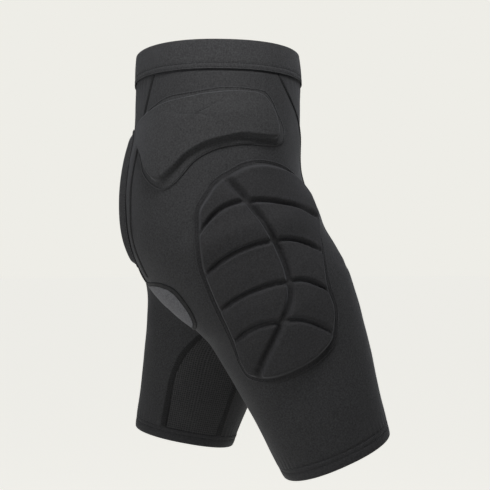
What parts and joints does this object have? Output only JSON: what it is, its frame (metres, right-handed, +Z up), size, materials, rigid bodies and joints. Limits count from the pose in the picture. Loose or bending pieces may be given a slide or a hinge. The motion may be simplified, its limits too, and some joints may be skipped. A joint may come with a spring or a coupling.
{
  "type": "padded impact shorts",
  "caption": "Close-fitting stretch shorts with foam pads over the hips, thighs and tailbone, in a striding shape, with legs that swing at the hips.",
  "frame": {"origin": "middle of the waist opening, level with the top of the waistband", "axes": "+Z up, the wearer faces -Y, the wearer's left is +X"},
  "size_m": [0.3546, 0.3165, 0.4967],
  "materials": {
    "stretch_knit": "matt stretch knit",
    "waistband_elastic_knit": "fine ribbed elastic",
    "woven_elastic": "woven elastic",
    "pad_cover_knit": "brushed stretch knit",
    "mesh_knit": "open knit mesh",
    "seam_thread": "flat stitched thread",
    "foam": "closed-cell foam"
  },
  "bodies": {
    "hips": {"waistband": "waistband_elastic_knit", "waistband_elastic": "woven_elastic", "front_panel": "stretch_knit", "back_panel": "stretch_knit", "gusset": "stretch_knit", "tail_foam": "foam", "tail_pad_cover": "pad_cover_knit", "right_side_panel": "stretch_knit", "right_front_seam": "seam_thread", "right_rear_seam": "seam_thread", "right_hip_foam": "foam", "right_hip_pad_cover": "pad_cover_knit", "right_hip_stretch_panel": "stretch_knit", "left_side_panel": "stretch_knit", "left_front_seam": "seam_thread", "left_rear_seam": "seam_thread", "left_hip_foam": "foam", "left_hip_pad_cover": "pad_cover_knit", "left_hip_stretch_panel": "stretch_knit"},
    "right_leg": {"right_leg_panel": "stretch_knit", "right_inner_thigh_mesh": "mesh_knit", "right_inner_seams": "seam_thread", "right_hem_band": "waistband_elastic_knit", "right_thigh_foam": "foam", "right_thigh_pad_cover": "pad_cover_knit"},
    "left_leg": {"left_leg_panel": "stretch_knit", "left_inner_thigh_mesh": "mesh_knit", "left_inner_seams": "seam_thread", "left_hem_band": "waistband_elastic_knit", "left_thigh_foam": "foam", "left_thigh_pad_cover": "pad_cover_knit"}
  },
  "joints": [
    {"name": "right_hip", "type": "hinge", "parent": "hips", "child": "right_leg", "pos_m": [0, -0.028, -0.206], "axis": [-1, 0, 0], "range_deg": [-35, 12], "stiffness_Nm_per_rad": 3, "deforming": ["right_hip_stretch_panel"]},
    {"name": "left_hip", "type": "hinge", "parent": "hips", "child": "left_leg", "pos_m": [0, -0.028, -0.206], "axis": [-1, 0, 0], "range_deg": [-0.5, 46.5], "stiffness_Nm_per_rad": 3, "deforming": ["left_hip_stretch_panel"]}
  ]
}
